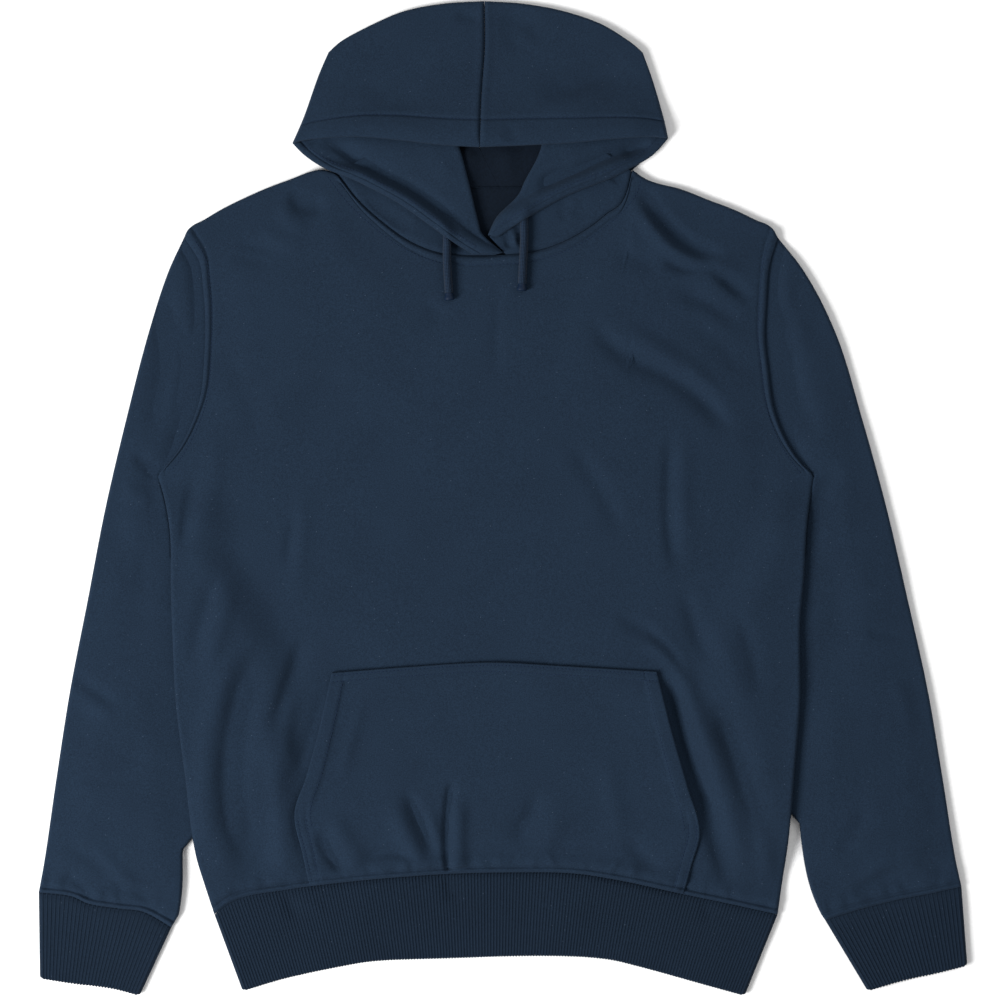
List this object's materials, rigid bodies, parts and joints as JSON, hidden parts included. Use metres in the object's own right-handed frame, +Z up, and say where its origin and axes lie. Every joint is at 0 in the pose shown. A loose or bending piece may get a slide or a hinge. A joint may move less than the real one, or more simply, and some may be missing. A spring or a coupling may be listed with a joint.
{
  "type": "pullover hoodie",
  "caption": "Hooded pullover sweatshirt of brushed fleece laid flat, with a front hand pocket, ribbed cuffs and hem band, and a drawcord in the hood",
  "frame": {"origin": "on the surface that the garment lies on, under the middle of its outline", "axes": "+X to the right of the garment as seen from above with the hood at the top, +Y from the hem to the hood, +Z up from the surface; left in a name is the -X side, and the garment lies on its back"},
  "size_m": [0.798, 0.854, 0.0168],
  "materials": {
    "fleece": "navy cotton fleece, smooth jersey face, matt",
    "rib_knit": "navy rib knit, doubled, matt",
    "drawcord": "navy round braided cotton cord, flecked, matt",
    "cord_tip": "dark navy dipped cord end, slight gloss"
  },
  "bodies": {
    "root": {"back_body": "fleece", "front_body": "fleece", "sleeve_left": "fleece", "sleeve_right": "fleece", "cuff_left": "rib_knit", "cuff_right": "rib_knit", "hem_band": "rib_knit", "kangaroo_pocket": "fleece", "hood_left_panel": "fleece", "hood_right_panel": "fleece", "drawcord_left": "drawcord", "drawcord_right": "drawcord", "cord_tip_left": "cord_tip", "cord_tip_right": "cord_tip"}
  },
  "joints": []
}
